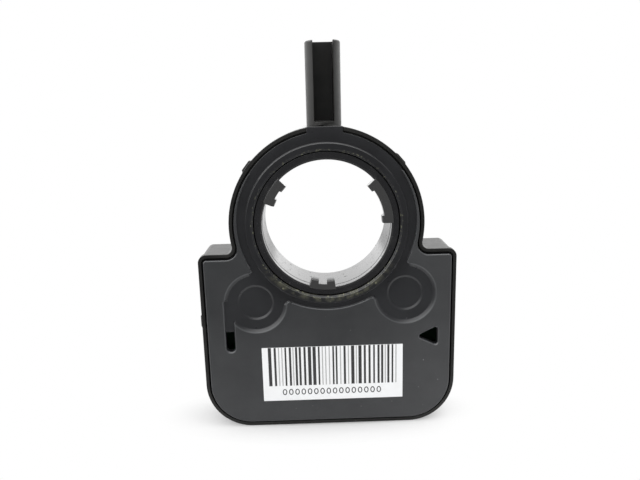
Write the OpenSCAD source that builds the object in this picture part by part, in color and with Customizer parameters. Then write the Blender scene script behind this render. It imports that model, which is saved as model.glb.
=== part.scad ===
// Steering angle sensor for a column of about 39 mm.
// X runs to the right, Z up, and Y from the labelled front to the back.
// The origin is on the axis of the column bore, half way through the housing.
// Levels along Y are counted from the housing's front rim, and from_rim() moves them to the origin.

/* [Rotor] */
// Plain bore that the steering column passes through
bore_d = 39.2; // [36:0.1:41]
// Wall of the rotor sleeve
sleeve_wall = 2.4; // [2:0.1:3]
// Set-back of the rotor's front face behind the rim
rotor_front = 0.4; // [0.2:0.1:1]
// Reach of the rotor's tail behind the housing
rotor_tail = 0.2; // [0:0.1:1]
// Radial relief of the bore over the driving lugs
relief = 0.25; // [0.15:0.05:0.5]
// Depth of the relieved stretch behind the rotor's front face
relief_depth = 2.6; // [2:0.1:4]
// Reach of the driving lugs into the bore
lug_reach = 1.9; // [1.2:0.1:2.5]
// Further reach of the prong at each end of a lug
prong_reach = 1.1; // [0.6:0.1:1.6]
// Width of a prong
prong_w = 2.4; // [1.6:0.1:3]
// Height of the lugs over the rotor's front face
lug_rise = 0.7; // [0.3:0.1:1.2]
// Direction of the middle of each lug, from +X towards +Z
lug_dirs = [21.7, 146.9, 264.9];
// Angle that each lug spans: the first one is the wide keyed lug
lug_spans = [42.4, 24.4, 23.6];

/* [Gear train] */
// Module of all the teeth
tooth_module = 0.8; // [0.75:0.01:0.82]
// Teeth round the rotor
rotor_teeth = 64; // [63:1:66]
// Teeth of the measuring gear under the left disc
left_teeth = 18; // [17:1:20]
// Teeth of the measuring gear under the right disc
right_teeth = 17; // [17:1:19]
// Direction of the left measuring gear from the bore axis
left_dir = 226.5; // [224:0.5:230]
// Direction of the right measuring gear from the bore axis
right_dir = 317.1; // [312:0.5:319]
// Thinning of each tooth for backlash
tooth_thinning = 0.1; // [0.06:0.01:0.16]
// Front face of the toothed rims behind the cover's inner face
gear_offset = 1.5; // [1.2:0.1:2.5]
// Width of the rotor's toothed rim
rotor_rim_w = 4; // [3:0.1:5]
// Width of the measuring gears' teeth
gear_w = 3.4; // [2.4:0.1:4]
// Diameter of the pins that carry the measuring gears
gear_pin_d = 3; // [2:0.1:3.6]
// Diameter of the magnets
magnet_d = 6; // [4:0.1:7]
// Thickness of the magnets
magnet_t = 2; // [1.5:0.1:2.5]

/* [Housing] */
// Width of the body across its two long sides
body_w = 79.2; // [76:0.1:90]
// Drop from the bore axis to the shoulders
shoulder_drop = 8.2; // [6:0.1:10]
// Drop from the bore axis to the base
base_drop = 65.6; // [62:0.1:75]
// Space between the circuit board and the back
back_gap = 2.5; // [1.5:0.1:8]
// Thickness of the side walls
wall = 2.4; // [2.1:0.1:3]
// Thickness of the back
floor_t = 1.6; // [1.2:0.1:2.5]
// Width of the thin rim round the cover
rim_w = 1.1; // [0.8:0.05:1.4]
// Depth of the flange behind the rim
flange_depth = 2.3; // [1.8:0.1:4]
// Step from the flange in to the tub
flange_step = 0.4; // [0.2:0.1:0.8]
// Radius of the shoulder corners
shoulder_r = 2.6; // [2:0.1:4]
// Radius of the base corners
corner_r = 14.5; // [8:0.1:18]
// Radius of the hollow corners between ring and shoulders
fillet_r = 2; // [1:0.1:4]

/* [Post] */
// Diameter of the slotted locating post
post_d = 10.5; // [9:0.1:12]
// Height of the post's top over the bore axis
post_top = 53.7; // [45:0.1:65]
// Width of the channel in the post
channel_w = 5.8; // [4.6:0.1:6]
// Thickness of the wall behind the channel
channel_back = 2.4; // [1.6:0.1:3]
// Bevel round the post's top
post_bevel = 0.4; // [0.2:0.1:0.8]

/* [Cover] */
// Thickness of the cover plate
cover_t = 1.5; // [1.2:0.1:2]
// Gap between the cover's edge and the rim
cover_gap = 0.55; // [0.3:0.05:0.7]
// Height of the raised panel over the sunk ring
panel_rise = 0.8; // [0.5:0.1:1.2]
// Width of the bevel round the panel and its cut-outs
panel_bevel = 0.5; // [0.3:0.1:0.7]
// Height of the ridge round the bore
ridge_rise = 0.5; // [0.3:0.1:0.8]
// Width of the ridge
ridge_w = 2.1; // [1.5:0.1:2.4]
// Radius of the sunk discs over the measuring gears
disc_r = 9.4; // [9:0.1:10]
// Radius of the low swell in the middle of each disc
swell_r = 5; // [4:0.1:6]
// Height of that swell
swell_rise = 0.25; // [0.15:0.05:0.4]
// Height over the bore axis at which the raised strips beside the ring end
strip_top = 16; // [8:0.5:20]
// Width of the tab that covers the post's foot
tab_w = 10.7; // [10:0.1:13]
// Distance of the oblong window's middle from the body's left side
slot_in = 8.6; // [6:0.1:12]
// Width of the oblong window
slot_w = 2.6; // [2:0.1:4]
// Drop from the bore axis to the oblong window's upper end
slot_drop = 33.2; // [31:0.1:34]
// Height of the oblong window
slot_h = 6.4; // [4:0.1:8]
// Distance of the three-cornered window from the body's right side
corner_in = 5.6; // [4:0.1:8]
// Drop from the bore axis to the middle of the three-cornered window
corner_drop = 36.3; // [34:0.1:40]
// Width of the three-cornered window
corner_w = 5.6; // [4:0.1:7]
// Height of the three-cornered window
corner_h = 5.4; // [4:0.1:7]

/* [Label] */
// Width of the barcode label
label_w = 44.4; // [30:0.1:50]
// Height of the barcode label
label_h = 18.1; // [12:0.1:22]
// Thickness of the label film
label_t = 0.1; // [0.05:0.01:0.2]
// Drop from the bore axis to the middle of the label
label_drop = 47.6; // [44:0.1:52]

/* [Electronics] */
// Thickness of the circuit board
board_t = 1.6; // [1:0.1:2]
// Gap between the magnets and their sensor chips
magnet_gap = 0.5; // [0.3:0.1:1]
// Thickness of the packages on the board
chip_t = 1; // [0.8:0.1:1.4]
// Radius of the posts that carry the board
boss_r = 2.2; // [1.8:0.1:3]
// Radius of the pegs that are staked through the board
peg_r = 1.2; // [0.8:0.1:1.5]

/* [Connector] */
// Number of terminals
terminals = 4; // [4:1:4]
// Distance between the terminals
terminal_pitch = 3.5; // [3:0.1:4]
// Thickness of a square terminal
terminal_t = 0.64; // [0.5:0.02:0.8]
// Reach of the terminals into the socket
terminal_reach = 5.6; // [4:0.1:6]
// Width of the socket
socket_w = 17.4; // [17:0.1:20]
// Height of the socket
socket_h = 9; // [8:0.1:11]
// Depth of the socket behind the housing
socket_depth = 11; // [10.5:0.1:14]
// Wall of the socket
socket_wall = 1.5; // [1.2:0.1:2]
// Drop from the bore axis to the middle of the socket
socket_drop = 50; // [47:0.1:52]

/* [Hidden] */
$fn = 96;

// Clearances: between turning faces, on a bearing pin, and round a fixed piece
run_gap = 0.3;
pin_gap = 0.05;
fit_gap = 0.1;
// Overlap of cutters past the faces that they cut
eps = 0.5;

// Gear train
rotor_r = bore_d / 2 + sleeve_wall;
rotor_pitch_r = tooth_module * rotor_teeth / 2;
rotor_tip_r = rotor_pitch_r + tooth_module;
pressure_angle = 20;
left_axis = axis_at(left_dir, left_teeth);
right_axis = axis_at(right_dir, right_teeth);

// Radii of the housing and the cover
tip_gap = 0.8;
ring_r = rotor_tip_r + tip_gap + wall;
hole_r = rotor_r + run_gap;
cover_inset = rim_w + cover_gap;
cover_r = ring_r - cover_inset;
groove_lift = 0.8;
groove_r = cover_r - groove_lift;
ridge_in_r = hole_r + 0.3;
slot_x = slot_in - body_w / 2;

// Levels along Y
gear_y = cover_t + gear_offset;
gear_mid_y = gear_y + rotor_rim_w / 2;
rim_back_y = gear_y + rotor_rim_w;
magnet_y = rim_back_y + 0.4;
magnet_back_y = magnet_y + magnet_t;
board_y = magnet_back_y + magnet_gap + chip_t;
board_back_y = board_y + board_t;
floor_y = board_back_y + back_gap;
depth = floor_y + floor_t;
rotor_back = depth + rotor_tail;
socket_mouth_y = depth + socket_depth;

// Post
post_r = post_d / 2;
post_y = cover_t + post_r;
channel_foot = ring_r + 1;

// Posts under the board: near each shoulder and near each base corner
boss_in = boss_r + 1.6;
boss_x = body_w / 2 - wall - boss_in;
boss_top_z = -shoulder_drop - wall - boss_in;
boss_low_z = -base_drop + wall + corner_r / 2;
boss_low_x = body_w / 2 - wall - corner_r / 2;
bosses = [for (s = [-1, 1]) each [[s * boss_x, boss_top_z], [s * boss_low_x, boss_low_z]]];
board_inset = wall + 0.5;

// Packages and small parts, as width and height on the board
sensor_size = [4.4, 5];
controller_size = [7, 7];
transceiver_size = [3.9, 4.9];
regulator_size = [3.5, 6.5];
diode_size = [2.6, 4.2];
crystal_size = [3.2, 5];
buffer_size = [6, 3.2];
capacitor_size = [1.25, 2];
capacitor_pitch = 2.6;
resistor_size = [0.8, 1.6];
resistor_pitch = 1.8;

// Snap hooks: direction on the ring and height of the swell outside, then the one on the left side
hook_w = 3.4;
hook_len = 4;
hook_t = 0.8;
hook_barb = 0.4;
hook_tip_y = cover_t + hook_len;
ring_hooks = [[142, 0.5], [41, 0.3]];
side_hook_drop = 29.4;
ring_hook_r = rotor_tip_r + 0.6 + hook_t;
side_hook_r = body_w / 2 - wall - fit_gap;
side_swell = 0.3;

function axis_at(dir, teeth) =
    tooth_module * (rotor_teeth + teeth) / 2 * [cos(dir), sin(dir)];

// Direction of one tooth of a measuring gear that meshes with the rotor's teeth
function mesh_phase(dir, teeth) =
    dir + 180 + (dir - left_dir) * rotor_teeth / teeth + 180 / teeth;

// Polar point
function polar(r, a) = [r * cos(a), r * sin(a)];

// Half the angle of a tooth at radius r, from the involute of the base circle
function involute(a) = tan(a) * 180 / PI - a;
function half_tooth(r, base_r, teeth) =
    90 / teeth - tooth_thinning / (tooth_module * teeth) * 180 / PI
    + involute(pressure_angle) - involute(acos(min(1, base_r / r)));

// Outline of a spur gear, one tooth after another
function gear_points(teeth, phase) =
    let (
        pitch_r = tooth_module * teeth / 2,
        base_r = pitch_r * cos(pressure_angle),
        root_r = pitch_r - 1.25 * tooth_module,
        tip_r = pitch_r + tooth_module,
        low_r = max(base_r, root_r),
        steps = 3,
        radii = [for (i = [0 : steps]) low_r + (tip_r - low_r) * i / steps]
    )
    [for (k = [0 : teeth - 1])
        let (
            mid = phase + 360 * k / teeth,
            foot = half_tooth(low_r, base_r, teeth),
            root = base_r > root_r ? [root_r] : []
        )
        each concat(
            [for (r = root) polar(r, mid - foot)],
            [for (r = radii) polar(r, mid - half_tooth(r, base_r, teeth))],
            [for (i = [0 : steps]) let (r = radii[steps - i]) polar(r, mid + half_tooth(r, base_r, teeth))],
            [for (r = root) polar(r, mid + foot)]
        )
    ];

// Moves what is drawn with Y counted from the front rim to the part's own origin
module from_rim() {
    translate([0, -depth / 2, 0]) children();
}

// Plate between two levels on Y, from an outline drawn in X and Z
module slab(y0, y1) {
    translate([0, y1, 0]) rotate([90, 0, 0]) linear_extrude(y1 - y0) children();
}

// Round bar or cone along Y at a point in X and Z
module bar(at, y0, y1, r0, r1) {
    translate([at.x, y0, at.y]) rotate([-90, 0, 0]) cylinder(h = y1 - y0, r1 = r0, r2 = r1);
}

module rod(at, y0, y1, r) {
    bar(at, y0, y1, r, r);
}

// Block between two corners
module block(low, high) {
    translate(low) cube(high - low);
}

// Rectangle with four equal corners
module rounded_rect(w, h, r) {
    square([w - 2 * r, h], center = true);
    square([w, h - 2 * r], center = true);
    for (sx = [-1, 1], sz = [-1, 1])
        translate([sx * (w / 2 - r), sz * (h / 2 - r)]) circle(r);
}

// Body below the ring, drawn in by inset at the sides and the top and by foot at the base
module body_profile(inset, foot) {
    half = body_w / 2 - inset;
    top = -shoulder_drop - inset;
    low = -base_drop + foot;
    top_r = max(shoulder_r - inset, 0.3);
    low_r = corner_r - inset;
    translate([-half, low + low_r]) square([2 * half, top - top_r - low - low_r]);
    translate([-half + low_r, low]) square([2 * (half - low_r), top - low]);
    translate([-half + top_r, low + low_r]) square([2 * (half - top_r), top - low - low_r]);
    for (s = [-1, 1]) {
        translate([s * (half - top_r), top - top_r]) circle(top_r);
        translate([s * (half - low_r), low + low_r]) circle(low_r);
    }
}

// Hollow corner between the ring and a shoulder
module shoulder_fillet(inset) {
    centre_z = fillet_r - shoulder_drop;
    centre_x = sqrt(pow(ring_r + fillet_r, 2) - pow(centre_z, 2));
    touch = [centre_x, centre_z] * (ring_r - inset) / (ring_r + fillet_r);
    low = -shoulder_drop - inset - eps;
    for (s = [0, 1]) mirror([s, 0]) difference() {
        polygon([[centre_x, low], [centre_x, centre_z], touch, [touch.x * 0.85, low]]);
        translate([centre_x, centre_z]) circle(fillet_r + inset);
    }
}

// Whole front outline: ring, body and hollow corners
module outline(inset, foot) {
    circle(ring_r - inset);
    body_profile(inset, foot);
    shoulder_fillet(inset);
}

// Places a child made at x = r on the ring, turned to a direction
module on_ring(dir) {
    rotate([0, -dir, 0]) children();
}

// Snap hook's swell on the outside of the rim, its outer face at radius r
module hook_swell(r, rise) {
    slab(0.3, flange_depth)
        polygon([[r - 1, -hook_w / 2 - 1], [r, -hook_w / 2 - 0.4], [r + rise, -hook_w / 2],
            [r + rise, hook_w / 2], [r, hook_w / 2 + 0.4], [r - 1, hook_w / 2 + 1]]);
}

// Hook on the cover: a finger inside the wall with a barb, its outer face at radius r
module hook(r) {
    tip = hook_tip_y;
    translate([0, 0, -hook_w / 2]) linear_extrude(hook_w)
        polygon([[r - hook_t, cover_t - eps], [r, cover_t - eps], [r, tip - 1.6], [r + hook_barb, tip - 1.4],
            [r + hook_barb, tip - 1], [r, tip], [r - hook_t, tip]]);
}

// Pocket in the wall for a hook's barb, from the finger's outer face at radius r
module hook_pocket(r) {
    half = hook_w / 2 + run_gap;
    block([r - 0.5, hook_tip_y - 1.8, -half], [r + hook_barb + 0.2, hook_tip_y + run_gap, half]);
}

// Groove in the ring's wall that takes a finger, so that it stays clear of the rotor's teeth
module hook_groove(r) {
    half = hook_w / 2 + run_gap;
    block([r - 2, cover_t - eps, -half], [r + fit_gap, hook_tip_y + run_gap, half]);
}

// Places a child made at x = r for each hook: two on the ring, one on each long side
module at_hooks() {
    for (h = ring_hooks) on_ring(h[0]) children(0);
    for (s = [0, 1]) mirror([s, 0, 0]) translate([0, 0, -side_hook_drop]) children(1);
}

// Post of round bar along Z, bevelled at its top
module post_body() {
    translate([0, post_y, 0]) {
        cylinder(h = post_top - post_bevel, r = post_r);
        translate([0, 0, post_top - post_bevel])
            cylinder(h = post_bevel, r1 = post_r, r2 = post_r - post_bevel);
    }
}

module rear_housing() {
    color([0.16, 0.16, 0.16]) from_rim() union() {
        difference() {
            union() {
                slab(0, flange_depth) outline(0, 0);
                slab(0, depth) outline(flange_step, 0);
                post_body();
                for (h = ring_hooks) on_ring(h[0]) hook_swell(ring_r, h[1]);
                translate([0, 0, -side_hook_drop]) mirror([1, 0, 0]) hook_swell(body_w / 2, side_swell);
                socket_shell();
            }
            slab(cover_t - eps, floor_y) outline(wall, wall);
            slab(-eps, cover_t) outline(rim_w, rim_w);
            slab(-eps, cover_t) translate([-tab_w / 2 - fit_gap, 0]) square([tab_w + 2 * fit_gap, ring_r + eps]);
            rod([0, 0], floor_y - eps, depth + eps, hole_r);
            block([-channel_w / 2, 0, channel_foot], [channel_w / 2, post_y + post_r - channel_back, post_top + eps]);
            at_hooks() {
                union() {
                    hook_pocket(ring_hook_r);
                    hook_groove(ring_hook_r);
                }
                hook_pocket(side_hook_r);
            }
            for (i = [0 : terminals - 1]) terminal_hole(i, floor_y, depth);
        }
        rotor_collar();
        for (at = bosses) board_boss(at);
    }
}

// Collar inside the back that the rotor turns in
module rotor_collar() {
    difference() {
        rod([0, 0], rim_back_y + run_gap, floor_y + eps, hole_r + 1.3);
        rod([0, 0], rim_back_y, depth, hole_r);
    }
}

// Post under the board with a peg through it and a staked head
module board_boss(at) {
    rod(at, board_back_y, floor_y + eps, boss_r);
    rod(at, board_y - eps, board_back_y + eps, peg_r);
    bar(at, board_y - 0.8, board_y, peg_r, boss_r - 0.2);
}

// Connector socket on the back, with the ramp that a plug's latch snaps over
module socket_shell() {
    ramp_w = 5;
    translate([0, 0, -socket_drop]) {
        difference() {
            slab(depth - eps, socket_mouth_y) rounded_rect(socket_w + 2 * socket_wall, socket_h + 2 * socket_wall, 2);
            slab(depth, socket_mouth_y + eps) rounded_rect(socket_w, socket_h, 1);
        }
        translate([-ramp_w / 2, 0, socket_h / 2 + socket_wall]) rotate([90, 0, 90]) linear_extrude(ramp_w)
            polygon([[socket_mouth_y - 6, -eps], [socket_mouth_y - 6, 1.2], [socket_mouth_y - 5, 1.2],
                [socket_mouth_y - 1.5, 0], [socket_mouth_y - 1.5, -eps]]);
    }
}

// X of a terminal
function terminal_x(i) = (i - (terminals - 1) / 2) * terminal_pitch;

module terminal_hole(i, y0, y1) {
    half = terminal_t / 2;
    translate([terminal_x(i), 0, -socket_drop]) block([-half, y0 - eps, -half], [half, y1 + eps, half]);
}

// Outline of the cover plate, with the tab over the post's foot
module cover_outline() {
    outline(cover_inset, cover_inset);
    translate([-tab_w / 2, 0]) square([tab_w, ring_r - 0.3]);
}

// Raised panel: the outline up to where the strips beside the ring end
module panel_blank() {
    slab(-panel_rise, eps) intersection() {
        outline(cover_inset, cover_inset);
        translate([-body_w, -2 * base_drop]) square([2 * body_w, 2 * base_drop + strip_top]);
    }
}

// Round sinking down to the plate, bevelled at the panel's front
module sinking(at, r) {
    rod(at, -panel_rise - eps, 0, r);
    bar(at, -panel_rise - 0.01, -panel_rise + panel_bevel, r + panel_bevel, r);
}

// Sunk lane that joins the left disc to the oblong window below it, with a bevelled edge
module slot_lane() {
    half = slot_w / 2;
    ends = [[slot_x, half - slot_drop - slot_h], [slot_x, left_axis.y]];
    hull() for (at = ends) rod(at, -panel_rise - eps, 0, half);
    hull() for (at = ends)
        bar(at, -panel_rise - 0.01, -panel_rise + panel_bevel, half + panel_bevel, half);
}

// Oblong window through the plate, with a round lower end
module slot_window() {
    half = slot_w / 2;
    foot = half - slot_drop - slot_h;
    rod([slot_x, foot], -eps, cover_t + eps, half);
    slab(-eps, cover_t + eps) translate([slot_x - half, foot]) square([slot_w, slot_h - half]);
}

// Three-cornered window that points to the left, with a bevelled edge
module corner_window() {
    r = 0.7;
    right = body_w / 2 - corner_in;
    corners = [[right - corner_w + r, -corner_drop], [right - r, corner_h / 2 - r - corner_drop],
        [right - r, r - corner_h / 2 - corner_drop]];
    hull() for (at = corners) rod(at, -panel_rise - eps, cover_t + eps, r);
    hull() for (at = corners)
        bar(at, -panel_rise - 0.01, -panel_rise + panel_bevel, r + panel_bevel, r);
}

// Ridge round the bore with rounded shoulders
module bore_ridge() {
    top_r = 0.35;
    rotate([90, 0, 0]) rotate_extrude()
        polygon([[ridge_in_r, -eps], [ridge_in_r, ridge_rise - top_r], [ridge_in_r + 0.1, ridge_rise - 0.1],
            [ridge_in_r + top_r, ridge_rise], [ridge_in_r + ridge_w - top_r, ridge_rise],
            [ridge_in_r + ridge_w - 0.1, ridge_rise - 0.1], [ridge_in_r + ridge_w, ridge_rise - top_r],
            [ridge_in_r + ridge_w, -eps]]);
}

module front_cover() {
    color([0.22, 0.22, 0.23]) from_rim() difference() {
        union() {
            slab(0, cover_t) cover_outline();
            difference() {
                panel_blank();
                rod([0, groove_lift], -panel_rise - eps, 0, groove_r);
                sinking(left_axis, disc_r);
                sinking(right_axis, disc_r);
                slot_lane();
            }
            bore_ridge();
            rod([0, 0], cover_t - eps, gear_y - run_gap, hole_r + 1.6);
            for (at = [left_axis, right_axis]) gear_seat(at);
            at_hooks() {
                hook(ring_hook_r);
                hook(side_hook_r);
            }
        }
        rod([0, 0], -panel_rise - eps, gear_y + eps, hole_r);
        slot_window();
        corner_window();
    }
}

// Swell on the outside of a disc; boss and bearing pin on its inside
module gear_seat(at) {
    bar(at, -swell_rise, 0, swell_r - 0.5, swell_r);
    rod(at, cover_t - eps, gear_y - run_gap, gear_pin_d / 2 + 1.2);
    rod(at, gear_y - 1, rim_back_y - 0.6, gear_pin_d / 2);
}

// Driving lug: a bar along the bore wall with a prong at each end
module lug(dir, span) {
    bar_r = bore_d / 2 + relief - lug_reach;
    tip_r = bar_r - prong_reach;
    back = rotor_front + relief_depth;
    prong_angle = prong_w / bar_r * 180 / PI;
    steps = 8;
    slab(rotor_front - lug_rise, back) {
        polygon(concat(
            [for (i = [0 : steps]) polar(rotor_r - 0.6, dir - span / 2 + span * i / steps)],
            [for (i = [0 : steps]) polar(bar_r, dir + span / 2 - span * i / steps)]));
        for (s = [-1, 1]) {
            outer = dir + s * span / 2;
            inner = outer - s * prong_angle;
            polygon([polar(bar_r + 0.6, outer), polar(tip_r, outer), polar(tip_r, inner), polar(bar_r + 0.6, inner)]);
        }
    }
}

module hub_gear() {
    color([0.19, 0.19, 0.2]) from_rim() union() {
        difference() {
            union() {
                rod([0, 0], rotor_front, rotor_back, rotor_r);
                slab(gear_y, rim_back_y) polygon(gear_points(rotor_teeth, left_dir));
            }
            rod([0, 0], rotor_front - eps, rotor_back + eps, bore_d / 2);
            rod([0, 0], rotor_front - eps, rotor_front + relief_depth, bore_d / 2 + relief);
        }
        for (i = [0 : 2]) lug(lug_dirs[i], lug_spans[i]);
    }
}

// Measuring gear: toothed rim on a hub with a bearing bore in front and a magnet cup behind
module measuring_gear(at, dir, teeth) {
    cup_r = magnet_d / 2 + 1.2;
    difference() {
        union() {
            translate([at.x, 0, at.y]) slab(gear_mid_y - gear_w / 2, gear_mid_y + gear_w / 2)
                polygon(gear_points(teeth, mesh_phase(dir, teeth)));
            rod(at, gear_y, magnet_back_y, cup_r);
        }
        rod(at, gear_y - eps, rim_back_y - 0.3, gear_pin_d / 2 + pin_gap);
        rod(at, magnet_y, magnet_back_y + eps, magnet_d / 2 + pin_gap);
    }
}

module measuring_gear_left() {
    color([0.85, 0.84, 0.78]) from_rim() measuring_gear(left_axis, left_dir, left_teeth);
}

module measuring_gear_right() {
    color([0.85, 0.84, 0.78]) from_rim() measuring_gear(right_axis, right_dir, right_teeth);
}

module magnet(at) {
    color([0.35, 0.35, 0.37]) from_rim() rod(at, magnet_y, magnet_back_y, magnet_d / 2);
}

module magnet_left() {
    magnet(left_axis);
}

module magnet_right() {
    magnet(right_axis);
}

module circuit_board() {
    color([0.1, 0.35, 0.2]) from_rim() difference() {
        slab(board_y, board_back_y) difference() {
            body_profile(board_inset, board_inset);
            circle(hole_r + 1.9);
        }
        for (at = bosses) rod(at, board_y - eps, board_back_y + eps, peg_r + pin_gap);
        for (i = [0 : terminals - 1]) terminal_hole(i, board_y, board_back_y);
    }
}

// Bent lead of a package, from the body's side down to the board
module lead(y_face, width) {
    foot = 1.1;
    t = 0.15;
    mid = y_face - chip_t / 2;
    translate([0, 0, -width / 2]) linear_extrude(width)
        polygon([[-eps, mid - t], [foot / 2, mid - t], [foot / 2 + t, y_face - t], [foot, y_face - t],
            [foot, y_face], [foot / 2, y_face], [foot / 2 - t, mid], [-eps, mid]]);
}

// Package on the board with leads along its left and right sides
module package(at, size, leads, pitch) {
    stand = 0.1;
    lead_w = pitch * 0.4;
    translate([at.x, 0, at.y]) {
        block([-size.x / 2, board_y - chip_t, -size.y / 2], [size.x / 2, board_y - stand, size.y / 2]);
        for (s = [0, 1], i = [0 : leads - 1]) mirror([s, 0, 0])
            translate([size.x / 2, 0, (i - (leads - 1) / 2) * pitch]) lead(board_y, lead_w);
    }
}

module angle_chip_left() {
    color([0.12, 0.12, 0.12]) from_rim() package(left_axis, sensor_size, 7, 0.65);
}

module angle_chip_right() {
    color([0.12, 0.12, 0.12]) from_rim() package(right_axis, sensor_size, 7, 0.65);
}

// Places on the board, from the gear axes, the posts and the socket
controller_at = [0, -34];
transceiver_at = [15, 8 - socket_drop];
regulator_at = [-18, 6 - socket_drop];
crystal_at = controller_at + [11, 0];
buffer_at = [boss_r + buffer_size.x - boss_low_x, -socket_drop - 4];
diode_at = [13, -socket_drop - 3];

module microcontroller() {
    color([0.12, 0.12, 0.12]) from_rim() {
        package(controller_at, controller_size, 8, 0.8);
        translate([controller_at.x, 0, controller_at.y]) rotate([0, 90, 0])
            package([0, 0], controller_size, 8, 0.8);
    }
}

module bus_transceiver() {
    color([0.12, 0.12, 0.12]) from_rim() package(transceiver_at, transceiver_size, 4, 1.27);
}

// Regulator with a broad cooling tab on one side
module voltage_regulator() {
    color([0.14, 0.14, 0.14]) from_rim() {
        package(regulator_at, regulator_size, 3, 2.3);
        translate([regulator_at.x - regulator_size.x / 2 - 1.5, 0, regulator_at.y])
            block([0, board_y - 0.3, -1.6], [2, board_y, 1.6]);
    }
}

module crystal() {
    color([0.75, 0.75, 0.76]) from_rim() translate([crystal_at.x, 0, crystal_at.y])
        slab(board_y - chip_t, board_y) rounded_rect(crystal_size.x, crystal_size.y, 0.6);
}

module buffer_capacitor() {
    color([0.85, 0.65, 0.2]) from_rim() translate([buffer_at.x, 0, buffer_at.y])
        slab(board_y - 1.8, board_y) rounded_rect(buffer_size.x, buffer_size.y, 0.3);
}

module protection_diode() {
    color([0.15, 0.15, 0.15]) from_rim() package(diode_at, diode_size, 1, 3);
}

// Row of n small blocks of one size on the board, with thickness t
module chip_row(at, n, pitch, size, t) {
    for (i = [0 : n - 1])
        block([at.x + i * pitch - size.x / 2, board_y - t, at.y - size.y / 2],
            [at.x + i * pitch + size.x / 2, board_y, at.y + size.y / 2]);
}

module filter_capacitors() {
    beside = [-controller_size.x - 5, -3];
    below = [-capacitor_pitch / 2, -sensor_size.y];
    color([0.7, 0.6, 0.45]) from_rim()
        for (at = [controller_at + beside, left_axis + below, right_axis + below])
            chip_row(at, 2, capacitor_pitch, capacitor_size, 1.1);
}

module chip_resistors() {
    beside = [-controller_size.x - 5, 2.6];
    color([0.15, 0.15, 0.18]) from_rim() {
        chip_row(controller_at + beside, 3, resistor_pitch, resistor_size, 0.5);
        chip_row([terminal_x(0), 3.2 - socket_drop], terminals, terminal_pitch, resistor_size, 0.5);
    }
}

// Terminal: a square pin from the board through the back into the socket, with a pointed end
module terminal(i) {
    half = terminal_t / 2;
    point = 0.8;
    end = depth + terminal_reach;
    color([0.8, 0.68, 0.35]) from_rim() translate([terminal_x(i), 0, -socket_drop]) {
        block([-half, board_y - 0.9, -half], [half, end - point, half]);
        hull() {
            block([-half, end - point - 0.01, -half], [half, end - point, half]);
            block([-half / 2, end - 0.01, -half / 2], [half / 2, end, half / 2]);
        }
    }
}

module power_terminal() {
    terminal(0);
}

module ground_terminal() {
    terminal(1);
}

module bus_high_terminal() {
    terminal(2);
}

module bus_low_terminal() {
    terminal(3);
}

module barcode_label() {
    color([0.96, 0.96, 0.96]) from_rim() translate([0.8, 0, -label_drop])
        slab(-panel_rise - label_t, -panel_rise) square([label_w, label_h], center = true);
}

rear_housing();
front_cover();
hub_gear();
measuring_gear_left();
measuring_gear_right();
magnet_left();
magnet_right();
circuit_board();
angle_chip_left();
angle_chip_right();
microcontroller();
bus_transceiver();
voltage_regulator();
crystal();
buffer_capacitor();
protection_diode();
filter_capacitors();
chip_resistors();
power_terminal();
ground_terminal();
bus_high_terminal();
bus_low_terminal();
barcode_label();
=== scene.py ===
import math
import random

import bmesh
import bpy
from mathutils import Matrix, Vector


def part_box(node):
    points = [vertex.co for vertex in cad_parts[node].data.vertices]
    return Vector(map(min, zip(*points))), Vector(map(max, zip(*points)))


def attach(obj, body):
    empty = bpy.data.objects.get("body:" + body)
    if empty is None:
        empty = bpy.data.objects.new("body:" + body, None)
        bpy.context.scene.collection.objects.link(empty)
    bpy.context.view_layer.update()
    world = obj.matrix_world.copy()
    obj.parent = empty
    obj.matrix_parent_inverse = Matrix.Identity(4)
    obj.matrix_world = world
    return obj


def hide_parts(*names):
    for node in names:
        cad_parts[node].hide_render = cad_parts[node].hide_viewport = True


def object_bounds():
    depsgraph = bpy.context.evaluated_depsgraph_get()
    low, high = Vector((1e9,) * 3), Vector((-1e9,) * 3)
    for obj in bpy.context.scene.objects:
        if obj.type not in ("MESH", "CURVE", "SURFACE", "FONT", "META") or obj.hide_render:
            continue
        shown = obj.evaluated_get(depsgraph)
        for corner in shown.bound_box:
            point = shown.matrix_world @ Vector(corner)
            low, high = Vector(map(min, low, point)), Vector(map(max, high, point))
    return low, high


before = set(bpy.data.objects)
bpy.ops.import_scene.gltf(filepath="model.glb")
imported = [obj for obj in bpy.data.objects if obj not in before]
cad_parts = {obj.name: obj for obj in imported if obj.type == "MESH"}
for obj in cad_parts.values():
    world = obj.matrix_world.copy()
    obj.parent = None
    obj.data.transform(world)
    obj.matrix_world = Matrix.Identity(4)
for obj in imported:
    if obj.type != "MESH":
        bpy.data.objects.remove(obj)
cad_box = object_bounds()


# Camera. It stands a little left of the bore and higher than it, looks down by about 13 degrees and
# leans a little, as found from the edges of the bore in the photograph.
MM = 0.001
CAMERA_AT = Vector((-5.1, -185.6, 35.7)) * MM
PITCH, YAW, LEAN = (math.radians(a) for a in (12.77, 0.94, -1.46))
FOCAL_PX, IMAGE_W = 600.0, 640.0
SENSOR_MM = 36.0


def aim(pitch, yaw, lean):
    """Rotation whose -Z looks along +Y, turned by yaw, tipped down by pitch and rolled by lean."""
    level = math.cos(pitch)
    ahead = Vector((math.sin(yaw) * level, math.cos(yaw) * level, -math.sin(pitch)))
    right = Vector((math.cos(yaw), -math.sin(yaw), 0))
    up = right.cross(ahead)
    rolled_right = right * math.cos(lean) + up * math.sin(lean)
    rolled_up = up * math.cos(lean) - right * math.sin(lean)
    return Matrix((rolled_right, rolled_up, -ahead)).transposed()


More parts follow.
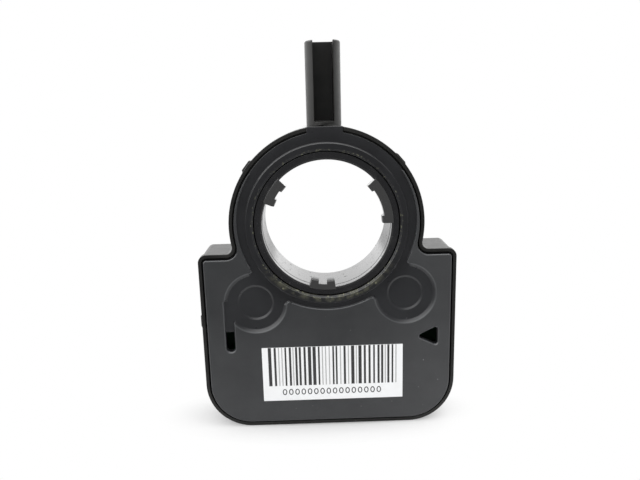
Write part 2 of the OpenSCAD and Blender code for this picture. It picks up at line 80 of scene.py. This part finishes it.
camera_data = bpy.data.cameras.new("camera")
camera_data.sensor_width = SENSOR_MM
camera_data.lens = SENSOR_MM * FOCAL_PX / IMAGE_W
camera = bpy.data.objects.new("camera", camera_data)
bpy.context.scene.collection.objects.link(camera)
camera.matrix_world = Matrix.Translation(CAMERA_AT) @ aim(PITCH, YAW, LEAN).to_4x4()
bpy.context.scene.camera = camera
bpy.context.scene.view_settings.view_transform = "Standard"


# Floor, room and lamp. The part stands on a white sheet that ends 4 cm in front of it, in a soft even
# light. Gloss sees white behind the part, a window above it and a dimmer room on the camera's side.
class Value:
    """A shader socket that arithmetic can be written with; each operation adds its Math node."""

    def __init__(self, nodes, socket):
        self.nodes, self.socket = nodes, socket

    def math(self, operation, *others):
        node = self.nodes.new("ShaderNodeMath")
        node.operation = operation
        for place, item in zip(node.inputs, (self, *others)):
            plug(node, place, item)
        return Value(self.nodes, node.outputs[0])

    def __add__(self, other):
        return self.math("ADD", other)

    def __mul__(self, other):
        return self.math("MULTIPLY", other)

    def __sub__(self, other):
        return self.math("SUBTRACT", other)

    def __rsub__(self, other):
        return (self * -1.0) + other

    __radd__ = __add__

    def above(self, low, high):
        """0 on the low side, 1 on the high side and a straight ramp between. Low may be the larger."""
        ramp = (self - low) * (1.0 / (high - low))
        return ramp.math("MINIMUM", 1.0).math("MAXIMUM", 0.0)


def plug(node, place, item):
    if isinstance(item, Value):
        node.id_data.links.new(item.socket, place)
    else:
        place.default_value = item


class Finish:
    """A material or world under construction. Each method adds nodes and gives back a socket."""

    def __init__(self, name, made_for=None):
        self.owner = made_for or bpy.data.materials.new(name)
        self.owner.use_nodes = True
        self.nodes = self.owner.node_tree.nodes
        self.nodes.clear()
        self.at = self.node("TexCoord", out="Object")

    def node(self, kind, out=0, **sockets):
        node = self.nodes.new("ShaderNode" + kind)
        for name, item in sockets.items():
            plug(node, node.inputs[name.replace("_", " ")], item)
        return Value(self.nodes, node.outputs[out]) if node.outputs else None

    def placed(self, kind, items, settings=(), out=0):
        """The same for nodes whose sockets share a name: items go in by place."""
        node = self.nodes.new("ShaderNode" + kind)
        for name, value in settings:
            setattr(node, name, value)
        for place, item in items:
            plug(node, node.inputs[place], item)
        return Value(self.nodes, node.outputs[out])

    def parts(self, vector):
        """The three parts of a place, in millimetres."""
        return [self.node("SeparateXYZ", out=i, Vector=vector) * (1.0 / MM) for i in range(3)]

    def noise(self, per_mm, detail=3.0, roughness=0.55):
        scale = per_mm / MM
        return self.node("TexNoise", Vector=self.at, Scale=scale, Detail=detail, Roughness=roughness)

    def mix(self, factor, a, b):
        return self.placed("Mix", ((0, factor), (6, a), (7, b)), (("data_type", "RGBA"),), 2)

    def bump(self, height, depth_mm):
        return self.node("Bump", Height=height, Distance=depth_mm * MM, Strength=1.0)

    def done(self, colour, roughness, normal=None, **fixed):
        sockets = {"Base_Color": colour, "Roughness": roughness, **fixed}
        if normal is not None:
            sockets["Normal"] = normal
        shader = self.node("BsdfPrincipled", **sockets)
        self.node("OutputMaterial", Surface=shader)
        return self.owner


def grey(level, tint=(1.0, 1.0, 1.0)):
    return (*(level * t for t in tint), 1.0)


# Sizes of the sheet, and the distances over which it fades to white, in metres.
SHEET_FRONT, SHEET_BACK, SHEET_HALF = -0.05, 1.4, 1.5
SHEET_WHITE = 0.93
SHEET_FADE, FADE_NARROW = (0.025, 0.058), 7.0
bpy.ops.object.select_all(action="DESELECT")
bpy.ops.mesh.primitive_plane_add(size=1, location=(0, (SHEET_FRONT + SHEET_BACK) / 2, cad_box[0].z))
floor = bpy.context.object
floor.name = "floor"
floor.scale = (2 * SHEET_HALF, SHEET_BACK - SHEET_FRONT, 1)
bpy.ops.object.transform_apply(location=True, scale=True)


def sheet_finish():
    f = Finish("white sheet")
    x, y = f.parts(f.at)[:2]
    away = (x * x + y * y * FADE_NARROW).math("SQRT") * MM
    seen = f.node("LightPath", out="Is Camera Ray")
    shade = f.node("BsdfDiffuse", Color=grey(SHEET_WHITE))
    white = f.node("Emission", Color=grey(1.0), Strength=1.0)
    fade = away.above(*SHEET_FADE) * seen
    f.node("OutputMaterial", Surface=f.placed("MixShader", ((0, fade), (1, shade), (2, white))))
    return f.owner


floor.data.materials.append(sheet_finish())

# Brightness of the room, and how far a direction has to turn to see the white behind or the window.
ROOM_LIGHT = 1.0
GLOSS_FRONT, GLOSS_BEHIND, GLOSS_WINDOW = 0.2, 2.2, 3.0
GLOSS_TURN, WINDOW_TURN = (-0.55, 0.2), (0.5, 0.85)
WINDOW_WAY = Vector((-0.5, -0.25, 0.83)).normalized()


def room_light():
    f = Finish("room", bpy.context.scene.world or bpy.data.worlds.new("room"))
    bpy.context.scene.world = f.owner
    way = f.node("TexCoord", out="Generated")
    behind = f.node("SeparateXYZ", out=1, Vector=way).above(*GLOSS_TURN)
    towards = f.placed("VectorMath", ((0, way), (1, WINDOW_WAY)), (("operation", "DOT_PRODUCT"),), 1)
    window = towards.above(*WINDOW_TURN)
    gloss = behind * (GLOSS_BEHIND - GLOSS_FRONT) + window * GLOSS_WINDOW + GLOSS_FRONT
    is_gloss = f.node("LightPath", out="Is Glossy Ray")
    seen = f.node("LightPath", out="Is Camera Ray")
    lit = is_gloss * (gloss - ROOM_LIGHT) + ROOM_LIGHT
    strength = seen * (1.0 - lit) + lit
    f.node("OutputWorld", Surface=f.node("Background", Color=grey(1.0), Strength=strength))


room_light()
LAMP_AT, LAMP_SIZE, LAMP_WATTS = Vector((0.24, -0.06, 0.55)), 0.4, 1.3
lamp = bpy.data.objects.new("soft lamp", bpy.data.lights.new("soft lamp", "AREA"))
lamp.data.size, lamp.data.energy = LAMP_SIZE, LAMP_WATTS
lamp.location = LAMP_AT
lamp.rotation_euler = LAMP_AT.to_track_quat("Z", "Y").to_euler()
bpy.context.scene.collection.objects.link(lamp)


# Rear housing: tub, thin rim, ring wall, slotted locating post and plug socket in one moulding of black
# glass filled nylon. Its edges are a little rounded by the mould, and it is the frame for all the rest.
def select_only(piece):
    bpy.ops.object.select_all(action="DESELECT")
    piece.select_set(True)
    bpy.context.view_layer.objects.active = piece


def is_sharp(edge, degrees):
    return len(edge.link_faces) == 2 and edge.calc_face_angle(0.0) > math.radians(degrees)


def weigh_edges(piece, sharp, crisp):
    """Marks for rounding each edge sharper than an angle, unless a rule keeps it crisp."""
    mesh = bmesh.from_edit_mesh(piece.data)
    weight = mesh.edges.layers.float.new("bevel_weight_edge")
    for edge in mesh.edges:
        sharp_here = is_sharp(edge, sharp)
        kept = crisp and any(crisp(math.hypot(v.co.x, v.co.z) / MM, v.co.y / MM) for v in edge.verts)
        edge[weight] = 1.0 if sharp_here and not kept else 0.0
    bmesh.update_edit_mesh(piece.data)


WELD, FLAT_ANGLE, SMOOTH_ANGLE = 0.002 * MM, math.radians(0.3), math.radians(60)


def rounded_moulding(node, name, edge_mm, body, sharp=35.0, reshape=None, crisp=None):
    """The moulding as it leaves the mould: the solid's loose triangles joined, its flat faces made whole
    and its sharp edges rounded."""
    piece = bpy.data.objects.new(name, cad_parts[node].data.copy())
    bpy.context.scene.collection.objects.link(piece)
    piece.data.materials.clear()
    select_only(piece)
    bpy.ops.object.mode_set(mode="EDIT")
    bpy.ops.mesh.select_all(action="SELECT")
    bpy.ops.mesh.remove_doubles(threshold=WELD)
    bpy.ops.mesh.dissolve_limited(angle_limit=FLAT_ANGLE)
    if reshape:
        reshape(piece)
    weigh_edges(piece, sharp, crisp)
    bpy.ops.object.mode_set(mode="OBJECT")
    edge = piece.modifiers.new("rounded edges", "BEVEL")
    edge.width, edge.segments = edge_mm * MM, 2
    edge.limit_method = "WEIGHT"
    edge.use_clamp_overlap = False
    edge.miter_outer = "MITER_SHARP"
    bpy.ops.object.modifier_apply(modifier=edge.name)
    bpy.ops.object.shade_smooth_by_angle(angle=SMOOTH_ANGLE)
    flat = piece.modifiers.new("even faces", "WEIGHTED_NORMAL")
    flat.keep_sharp, flat.weight = True, 100
    bpy.ops.object.modifier_apply(modifier=flat.name)
    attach(piece, body)
    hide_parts(node)
    return piece


HOUSING_EDGE = 0.15
HOUSING_BLACK = grey(0.008, (1.0, 1.0, 0.93))
HOUSING_WORN = grey(0.022, (1.0, 1.0, 0.93))


def housing_finish():
    f = Finish("housing nylon")
    cloud = f.noise(0.12, 4).above(0.35, 0.7)
    grain = f.noise(4.0, 2)
    flow = f.noise(0.5, 2)
    colour = f.mix(cloud * 0.7 + grain * 0.2, HOUSING_BLACK, HOUSING_WORN)
    return f.done(colour, 0.35 + flow * 0.14 + grain * 0.06, f.bump(grain + flow, 0.008), IOR=1.38)


housing = rounded_moulding("rear_housing", "housing_moulding", HOUSING_EDGE, "housing")
housing.data.materials.append(housing_finish())


# Front cover: plate with a raised spark finished panel, two sunk discs over the measuring gears, an
# oblong and a three cornered window and the ridge round the bore. Moulded in charcoal nylon and held
# by four snap hooks. It carries specks of dust, and a greasy film by the bore.
COVER_EDGE = 0.16
PANEL_GREY = grey(0.018, (0.93, 1.0, 1.1))
# The panel's paler tone, which also carries painted light.
PANEL_PALE_AND_LIT = grey(0.047, (0.97, 1.0, 1.05))
# Painted highlight colour for the raised panel's rounded edge.
PANEL_EDGE_HIGHLIGHT = grey(0.095, (0.96, 1.0, 1.05))
# Painted shade: the sunk parts and the ridge take these darker copies of the panel's nylon.
SUNK_SHADE_BLACK = grey(0.009, (0.95, 0.97, 1.15))
SUNK_SHADE_PALE = grey(0.024, (0.96, 1.0, 1.1))
GREASE = grey(0.11, (1.0, 1.0, 0.66))
# Pale yellowish crumbs of dirt. The same colour also serves as a painted highlight on the cover's inner
# edge.
CRUMB_AND_HIGHLIGHT = grey(0.34, (1.0, 1.0, 0.66))
DUST = grey(0.30)

# Places along Y and radii in millimetres. The panel's edge is rounded below STRIPS_END along Z, and the
# ridge all the way round.
PANEL_LEVEL, PLATE_LEVEL, RIDGE_LEVEL = -9.1, -8.3, -8.8
PANEL_ROUND, RIDGE_ROUND, TIP_ROUND = 0.4, 0.45, 1.3
STRIPS_END, ALL_HEIGHTS = -7.0, 60.0
GROOVE_Z, GROOVE_R = 0.8, 27.15

# Each disc's wall leans out to the panel in one slope, and its middle is a shallow dish. Radii that
# stand in pairs are the solid's and the dressed cover's.
DISC_WALL, DISC_LIP, DISC_FOOT, DISC_STEP, TIPS_OUT = 9.4, 9.12, 8.65, -8.6, 0.3
DISH_AT, DISH_IN, DISH_OUT, DISH_DEPTH = -8.55, (4.5, 5.0), (5.0, 5.7), 0.45


def near(value, goal, slack=0.06):
    return abs(value - goal) < slack


def circle(radius_mm, level_mm):
    """Rule that chooses the points of one circle round the axis, at one place along Y."""
    return lambda out, y, way: near(out, radius_mm) and near(y, level_mm)


def round_level(piece, level_mm, radius_mm, below_mm, sharp=60.0):
    """Rounds the sharp edges that lie in one plane across Y and below a height."""
    bpy.ops.mesh.select_mode(type="EDGE")
    bpy.ops.mesh.select_all(action="DESELECT")
    mesh = bmesh.from_edit_mesh(piece.data)
    for edge in mesh.edges:
        flat = all(near(v.co.y / MM, level_mm, 0.02) and v.co.z < below_mm * MM for v in edge.verts)
        edge.select = flat and is_sharp(edge, sharp)
    bmesh.update_edit_mesh(piece.data)
    bpy.ops.mesh.bevel(offset=radius_mm * MM, segments=3, clamp_overlap=False)


def choose_points(piece, chosen, about):
    """Selects points by a rule on their distance from an axis along Y, their Y and their direction."""
    bpy.ops.mesh.select_mode(type="VERT")
    bpy.ops.mesh.select_all(action="DESELECT")
    mesh = bmesh.from_edit_mesh(piece.data)
    for v in mesh.verts:
        out = math.hypot(v.co.x - about.x, v.co.z - about.z) / MM
        v.select = chosen(out, v.co.y / MM, math.degrees(math.atan2(v.co.z, v.co.x)) % 360)
    bmesh.update_edit_mesh(piece.data)


def move_points(piece, chosen, grow, about=Vector((0, 0, 0)), back_mm=0.0):
    """Moves chosen points away from an axis along Y, and back along it."""
    choose_points(piece, chosen, about)
    bpy.ops.transform.resize(value=(grow, 1, grow), center_override=about)
    bpy.ops.transform.translate(value=(0, back_mm * MM, 0))


def crossings(a, ra, b, rb):
    """The two points where two circles meet, from their middles and radii."""
    apart = (b - a).length
    along = (ra * ra - rb * rb + apart * apart) / (2 * apart)
    way = (b - a) / apart
    side = Vector((-way.y, way.x)) * math.sqrt(ra * ra - along * along)
    return a + way * along + side, a + way * along - side


def shape_cover(piece):
    round_level(piece, PANEL_LEVEL, PANEL_ROUND, STRIPS_END)
    round_level(piece, RIDGE_LEVEL, RIDGE_ROUND, ALL_HEIGHTS)
    for gear in ("magnet_left", "magnet_right"):
        low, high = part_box(gear)
        axis = Vector(((low.x + high.x) / 2, 0, (low.z + high.z) / 2))
        groove = Vector((0, GROOVE_Z * MM))
        for tip in crossings(axis.xz, (DISC_WALL + TIPS_OUT) * MM, groove, GROOVE_R * MM):
            choose_points(piece, lambda out, y, way: out < TIP_ROUND and y < PLATE_LEVEL + 0.1,
                          Vector((tip.x, 0, tip.y)))
            bpy.ops.mesh.vertices_smooth(factor=0.5, repeat=4, xaxis=True, yaxis=False, zaxis=True)
        move_points(piece, circle(DISC_WALL, DISC_STEP), DISC_LIP / DISC_WALL, axis)
        move_points(piece, circle(DISC_WALL, PLATE_LEVEL), DISC_FOOT / DISC_WALL, axis)
        move_points(piece, circle(DISH_OUT[0], PLATE_LEVEL), DISH_OUT[1] / DISH_OUT[0], axis)
        move_points(piece, lambda out, y, way: out < DISH_OUT[0] and near(y, DISH_AT),
                    DISH_IN[1] / DISH_IN[0], axis, PLATE_LEVEL + DISH_DEPTH - DISH_AT)


# Painted light and shade, dust, grease and crumbs on the cover: distances from the bore's axis, down and
# to the right.
RIDGE_FOOT, GROOVE_SHADE_FADE = (25.2, 26.2), (26.0, 30.0)
PAINTED_LIGHT_DOWN, PAINTED_LIGHT_RIGHT = (-26.0, -66.0), (8.0, 40.0)
DUST_DOWN, DUST_RIGHT = (-24.0, -46.0), (-30.0, 25.0)
FILM_RIM, FILM_DOWN = (24.4, 23.4), (-11.0, -19.0)
CRUMB_RIM, CRUMB_DOWN = (24.2, 23.6), (-15.0, -20.0)
INNER_EDGE_RIM = (23.2, 22.9)


def cover_finish():
    f = Finish("cover nylon")
    x, y, z = f.parts(f.at)
    from_bore = (x * x + z * z).math("SQRT")
    raised = y.above(PLATE_LEVEL - 0.3, PANEL_LEVEL + 0.2) * from_bore.above(*RIDGE_FOOT)
    cloud = f.noise(0.09, 4)
    grain = f.noise(5.0, 2)
    fine = f.noise(0.9, 3)
    # Painted light: the panel gets lighter towards the bottom, where the floor's bounce lights it, and
    # towards the right. A soft cloud and the grain vary its tone at random.
    painted_light = z.above(*PAINTED_LIGHT_DOWN) * 0.5 + x.above(*PAINTED_LIGHT_RIGHT) * 0.55
    panel = f.mix(painted_light + cloud.above(0.35, 0.7) * 0.3 + grain * 0.15, PANEL_GREY, PANEL_PALE_AND_LIT)
    # Painted shade: the sunk parts and the ridge are darkest in the groove by the bore and lighter
    # further out. A soft cloud and the grain add random tone. The raised panel keeps the lighter copy.
    tone_and_groove_shade = cloud.above(0.4, 0.7) * 0.4 + grain * 0.3 + from_bore.above(*GROOVE_SHADE_FADE) * 0.5
    sunk = f.mix(tone_and_groove_shade, SUNK_SHADE_BLACK, SUNK_SHADE_PALE)
    colour = f.mix(raised, sunk, panel)
    # Painted highlight: a pale line along the rounded edge of the raised panel, broken up by the grain.
    highlight_front = y.above(PANEL_LEVEL + 0.01, PANEL_LEVEL + 0.1)
    highlight_back = y.above(PANEL_LEVEL + PANEL_ROUND, PANEL_LEVEL + 0.25)
    colour = f.mix(highlight_front * highlight_back * raised * (0.2 + grain * 0.5), colour, PANEL_EDGE_HIGHLIGHT)
    speck = f.noise(1.3, 0).above(0.82, 0.86) * z.above(*DUST_DOWN) * x.above(*DUST_RIGHT)
    colour = f.mix(speck * 0.5, colour, DUST)
    film = from_bore.above(*FILM_RIM) * z.above(*FILM_DOWN) * f.noise(0.35, 5, 0.75).above(0.46, 0.56)
    colour = f.mix(film * 0.5, colour, GREASE)
    # Along the cover's inner edge by the rotor, the pale patches are partly crumbs of dirt and partly a
    # painted highlight on the edge. Lower down the ridge they are crumbs only.
    inner_edge_crumbs_and_highlight = from_bore.above(*INNER_EDGE_RIM) * f.noise(1.4, 2).above(0.60, 0.72)
    crumb = from_bore.above(*CRUMB_RIM) * z.above(*CRUMB_DOWN) * f.noise(0.9, 2).above(0.66, 0.72)
    colour = f.mix((inner_edge_crumbs_and_highlight * 0.4 + crumb).math("MINIMUM", 0.9), colour, CRUMB_AND_HIGHLIGHT)
    rough = 0.24 + raised * y.above(PANEL_LEVEL + 0.08, PANEL_LEVEL + 0.02) * 0.3 + fine * 0.12
    height = grain * (0.35 + raised * 0.65) + fine * 0.4
    return f.done(colour, rough, f.bump(height, 0.014), IOR=1.5)


cover = rounded_moulding("front_cover", "cover_moulding", COVER_EDGE, "housing",
                         sharp=25.0, reshape=shape_cover)
cover.data.materials.append(cover_finish())


# Rotor: the sleeve with the column bore, its three driving lugs and the toothed rim, moulded in one
# piece of smooth black acetal. It turns in the cover and in the collar of the housing.
ROTOR_EDGE = 0.14
ROTOR_BLACK = grey(0.010, (0.97, 0.97, 1.15))
ROTOR_RUBBED = grey(0.026)


# Radii and places along Y in millimetres. In the solid all lugs reach in equally far. Each lug here
# has its own reach: direction, half its span, and the radii of its bar and of its prongs.
LUG_BAR, LUG_PRONG, LUG_SLACK = 17.95, 16.85, 0.15
LUGS = ((21.7, 21.5, 17.55, 16.85), (146.9, 12.5, 17.55, 16.85), (264.9, 12.1, 18.45, 17.25))
LUG_FRONT, LUG_INSIDE, LUG_LEAD = -8.6, 17.5, 0.6
LAND, LAND_END, LAND_SLACK = (21.4, 20.2), -7.8, 0.12
BORE_R, RELIEF, RELIEF_END = 19.6, (19.85, 19.66), -5.3


def shape_lugs(piece):
    move_points(piece, lambda out, y, way: near(out, LAND[0], LAND_SLACK) and y < LAND_END,
                LAND[1] / LAND[0])
    move_points(piece, lambda out, y, way: near(out, RELIEF[0]), RELIEF[1] / RELIEF[0])
    for middle, half, bar, prong in LUGS:
        for was, now in ((LUG_BAR, bar), (LUG_PRONG, prong)):
            move_points(piece, lambda out, y, way: near(out, was, LUG_SLACK) and abs(way - middle) < half,
                        now / was)
    bpy.ops.mesh.select_mode(type="EDGE")
    bpy.ops.mesh.select_all(action="DESELECT")
    mesh = bmesh.from_edit_mesh(piece.data)
    for edge in mesh.edges:
        inside = all(v.co.xz.length < LUG_INSIDE * MM for v in edge.verts)
        edge.select = inside and all(near(v.co.y / MM, LUG_FRONT) for v in edge.verts)
    bmesh.update_edit_mesh(piece.data)
    bpy.ops.mesh.bevel(offset=LUG_LEAD * MM, segments=1, clamp_overlap=False)


def relief_step(out, y):
    """True on the step where the bore's relief ends, which stays crisp."""
    return near(out, (BORE_R + RELIEF[1]) / 2, 0.1) and near(y, RELIEF_END, 0.3)


# Painted light: the lugs' front faces, which stand proud of the rotor's face, are painted lighter than
# the rest of the moulding.
LUG_FRONT_LIT_GREY = grey(0.04)
LUG_FACE_R, LUG_FACE_Y = (20.3, 20.1), (-7.7, -8.1)


def rotor_finish():
    f = Finish("rotor acetal")
    x, y, z = f.parts(f.at)
    scuff = f.noise(0.25, 5, 0.65).above(0.5, 0.72)
    grain = f.noise(3.0, 2)
    speck = f.noise(1.3, 0).above(0.77, 0.80)
    colour = f.mix(scuff * 0.5 + grain * 0.2, ROTOR_BLACK, ROTOR_RUBBED)
    from_bore = (x * x + z * z).math("SQRT")
    # Painted light: the lugs' front faces get the lighter grey.
    colour = f.mix(from_bore.above(*LUG_FACE_R) * y.above(*LUG_FACE_Y), colour, LUG_FRONT_LIT_GREY)
    rough = 0.15 + scuff * 0.08 + grain * 0.04 + speck * 0.6
    return f.done(colour, rough, f.bump(grain, 0.005), IOR=1.58)


rotor = rounded_moulding("hub_gear", "rotor_moulding", ROTOR_EDGE, "rotor",
                         sharp=50.0, reshape=shape_lugs, crisp=relief_step)
rotor.data.materials.append(rotor_finish())


def true_bore(piece, radius_mm, slack=0.08):
    """Turns the shading of a bore's wall to its axis, which the uneven facets behind the lugs miss."""
    mesh = piece.data
    ways = [n.vector.copy() for n in mesh.corner_normals]
    for face in mesh.polygons:
        for i in face.loop_indices:
            at = mesh.vertices[mesh.loops[i].vertex_index].co
            inward = -Vector((at.x, 0, at.z)).normalized()
            if near(math.hypot(at.x, at.z) / MM, radius_mm, slack) and face.normal.dot(inward) > 0.98:
                ways[i] = inward
    mesh.normals_split_custom_set(ways)


true_bore(rotor, BORE_R)


# Label: white polyester film with a thermal print of plain bars and a row of plain ovals, stuck to
# the cover's panel under the two discs.
LABEL_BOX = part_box("barcode_label")
LABEL_FRONT = LABEL_BOX[0].y + 0.012 * MM
LABEL_H = (LABEL_BOX[1] - LABEL_BOX[0]).z
FILM_CORNER, PRINT_T = 0.15 * MM, 0.01 * MM
INK = grey(0.03, (1.0, 1.0, 1.03))
FAINT_INK = grey(0.42)
BAR_UNIT = 0.339 * MM


def label_block(low, high):
    bpy.ops.object.select_all(action="DESELECT")
    low, high = Vector(low), Vector(high)
    bpy.ops.mesh.primitive_cube_add(size=1, location=(low + high) / 2, scale=high - low)
    bpy.ops.object.transform_apply(location=True, rotation=True, scale=True)
    return bpy.context.object


def joined(pieces, name):
    bpy.ops.object.select_all(action="DESELECT")
    for piece in pieces:
        piece.select_set(True)
    bpy.context.view_layer.objects.active = pieces[0]
    bpy.ops.object.join()
    pieces[0].name = name
    return pieces[0]


film = label_block((LABEL_BOX[0].x, LABEL_FRONT, LABEL_BOX[0].z), LABEL_BOX[1])
film.name = "label_film"
select_only(film)
bpy.ops.object.mode_set(mode="EDIT")
bpy.ops.mesh.select_mode(type="EDGE")
bpy.ops.mesh.select_all(action="DESELECT")
film_mesh = bmesh.from_edit_mesh(film.data)
for side in film_mesh.edges:
    along = side.verts[0].co - side.verts[1].co
    side.select = abs(along.y) > abs(along.x) and abs(along.y) > abs(along.z)
bmesh.update_edit_mesh(film.data)
bpy.ops.mesh.bevel(offset=FILM_CORNER, segments=3)
bpy.ops.object.mode_set(mode="OBJECT")

# The bars start at the film's upper edge, as they do where a printer cuts the film too high. Widths
# and gaps are in bar units.
BARS_LEFT, BARS_RIGHT = LABEL_BOX[0].x + 1.9 * MM, LABEL_BOX[1].x - 2.2 * MM
BARS_LOW, BARS_HIGH = LABEL_BOX[1].z - 0.72 * LABEL_H, LABEL_BOX[1].z - 0.05 * MM
BAR_WIDTHS, BAR_GAPS, FAINT_SHARE = (1.6, 2, 2, 3), (1.4, 2, 2, 2.4), 0.12
dice = random.Random(11)
x = BARS_LEFT
bars, faint = [], []
while x < BARS_RIGHT:
    wide = dice.choice(BAR_WIDTHS)
    gap = dice.choice(BAR_GAPS)
    pale = dice.random() < FAINT_SHARE
    row = faint if pale else bars
    width = (1 if pale else wide) * BAR_UNIT
    row.append(label_block((x, LABEL_FRONT - PRINT_T, BARS_LOW), (x + width, LABEL_FRONT, BARS_HIGH)))
    x += width + gap * BAR_UNIT
label_bars = joined(bars, "label_bars")
label_faint = joined(faint, "label_faint_bars")

OVALS, OVAL_PITCH, OVAL_W, OVAL_H, OVAL_LINE = 16, 2.0 * MM, 1.45 * MM, 2.1 * MM, 0.31 * MM
FIRST_OVAL = Vector((LABEL_BOX[0].x + 6.8 * MM, LABEL_FRONT, LABEL_BOX[1].z - 0.84 * LABEL_H))
ovals = []
for i in range(OVALS):
    bpy.ops.object.select_all(action="DESELECT")
    bpy.ops.mesh.primitive_circle_add(vertices=20, radius=OVAL_W / 2, fill_type="NGON",
                                      rotation=(math.pi / 2, 0, 0))
    oval = bpy.context.object
    oval.scale = (1, OVAL_H / OVAL_W, 1)
    bpy.ops.object.transform_apply(location=False, rotation=False, scale=True)
    bpy.ops.object.mode_set(mode="EDIT")
    bpy.ops.mesh.select_all(action="SELECT")
    bpy.ops.mesh.inset(thickness=OVAL_LINE)
    bpy.ops.mesh.delete(type="FACE")
    bpy.ops.mesh.select_all(action="SELECT")
    bpy.ops.mesh.extrude_region_move(TRANSFORM_OT_translate={"value": (0, -PRINT_T, 0)})
    bpy.ops.mesh.select_all(action="SELECT")
    bpy.ops.mesh.normals_make_consistent(inside=False)
    bpy.ops.object.mode_set(mode="OBJECT")
    oval.location = FIRST_OVAL + Vector((i * OVAL_PITCH, 0, 0))
    bpy.ops.object.transform_apply(location=True, rotation=True, scale=True)
    ovals.append(oval)
label_ovals = joined(ovals, "label_ovals")


def film_finish():
    f = Finish("label film")
    soil = f.noise(0.2, 4).above(0.45, 0.75)
    grain = f.noise(3.0, 2)
    colour = f.mix(soil * 0.5, grey(0.92, (0.99, 1.0, 1.01)), grey(0.85))
    return f.done(colour, 0.42 + grain * 0.1, f.bump(grain, 0.003))


def ink_finish(name, ink):
    f = Finish(name)
    worn = f.noise(2.5, 3).above(0.55, 0.75)
    return f.done(f.mix(worn * 0.12, ink, grey(0.5)), 0.5 + worn * 0.1)


film.data.materials.append(film_finish())
label_bars.data.materials.append(ink_finish("label ink", INK))
label_ovals.data.materials.append(label_bars.data.materials[0])
label_faint.data.materials.append(ink_finish("faint label ink", FAINT_INK))
for piece in (film, label_bars, label_faint, label_ovals):
    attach(piece, "housing")
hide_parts("barcode_label")


# Measuring gears: two wheels of natural acetal with 18 and 17 teeth under the sunk discs. They run on
# pins of the cover, and each holds a magnet in a cup at its back.
def even_finish(name, cloud, grain, one, other, rough, bump_mm, **fixed):
    """Drifts between two colours in a soft cloud. A fine grain varies its gloss and its bump."""
    f = Finish(name)
    drift, fine = f.noise(*cloud), f.noise(*grain)
    return f.done(f.mix(drift, one, other), rough[0] + fine * rough[1], f.bump(fine, bump_mm), **fixed)


def dress(nodes, material):
    """Gives CAD nodes that keep their own shape their finish."""
    for name in nodes:
        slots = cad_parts[name].data.materials
        slots.clear()
        slots.append(material)


ACETAL_WHITE, ACETAL_CREAM = grey(0.80, (1.0, 0.99, 0.93)), grey(0.72, (1.0, 0.97, 0.88))
dress(("measuring_gear_left", "measuring_gear_right"),
      even_finish("natural acetal", (0.3, 3), (4.0, 2), ACETAL_WHITE, ACETAL_CREAM, (0.35, 0.1), 0.004))


# Magnets: plain discs of dark sintered ferrite with small pits, pressed into the cups at the backs of
# the measuring gears, so that the chips on the board can read how they turn.
FERRITE_DARK, FERRITE_PALE = grey(0.055), grey(0.11, (1.0, 1.0, 1.04))


def magnet_finish():
    f = Finish("sintered ferrite")
    grain = f.noise(6.0, 3)
    pit = f.noise(1.5, 2).above(0.6, 0.75)
    colour = f.mix(grain * 0.6 + pit * 0.4, FERRITE_DARK, FERRITE_PALE)
    return f.done(colour, 0.45 + grain * 0.15, f.bump(grain, 0.01), Metallic=0.4)


dress(("magnet_left", "magnet_right"), magnet_finish())


# Circuit board: a plate of glass epoxy under green solder resist, cut round the rotor and staked on
# the four pegs of the housing.
RESIST_DARK, RESIST_GREEN = (0.010, 0.040, 0.018, 1), (0.016, 0.060, 0.028, 1)


def board_finish():
    f = Finish("solder resist")
    weave = f.noise(1.6, 2)
    cloud = f.noise(0.15, 3)
    colour = f.mix(cloud * 0.6 + weave * 0.3, RESIST_DARK, RESIST_GREEN)
    return f.done(colour, 0.3 + weave * 0.12, f.bump(weave, 0.01))


dress(("circuit_board",), board_finish())


# Packages on the board: transfer moulded black epoxy, matt, soldered by their side leads. The small
# resistors have the same dark face.
dress(("angle_chip_left", "angle_chip_right", "microcontroller", "bus_transceiver", "voltage_regulator",
       "protection_diode", "chip_resistors"),
      even_finish("package epoxy", (0.6, 2), (8.0, 2), grey(0.022), grey(0.036), (0.55, 0.15), 0.008))


# Crystal: a can drawn from steel sheet and plated, reflow soldered to the board beside the
# microcontroller.
dress(("crystal",),
      even_finish("plated can", (3.0, 2), (3.0, 2), grey(0.58), grey(0.7), (0.26, 0.12), 0.004,
                  Metallic=1.0))


# Buffer capacitor: a tantalum block moulded in satin ochre epoxy, which lies flat on the board and is
# soldered to it.
OCHRE_DARK, OCHRE_PALE = (0.62, 0.36, 0.05, 1), (0.74, 0.46, 0.09, 1)
dress(("buffer_capacitor",),
      even_finish("ochre epoxy", (0.5, 3), (6.0, 2), OCHRE_DARK, OCHRE_PALE, (0.42, 0.1), 0.006))


# Filter capacitors: blocks of fired tan ceramic, soldered in pairs beside the chips that they serve.
CERAMIC_BROWN, CERAMIC_TAN = (0.40, 0.29, 0.18, 1), (0.50, 0.38, 0.25, 1)
dress(("filter_capacitors",),
      even_finish("fired ceramic", (1.0, 3), (8.0, 2), CERAMIC_BROWN, CERAMIC_TAN, (0.5, 0.1), 0.005))


# Terminals: square pins of tin plated brass, pressed through the back of the housing into the socket
# and soldered to the board.
BRASS_DULL, BRASS_BRIGHT = grey(0.62, (1.0, 0.9, 0.62)), grey(0.72, (1.0, 0.94, 0.74))
dress(("power_terminal", "ground_terminal", "bus_high_terminal", "bus_low_terminal"),
      even_finish("plated brass", (1.2, 3), (1.2, 3), BRASS_DULL, BRASS_BRIGHT, (0.24, 0.14), 0.003,
                  Metallic=1.0))
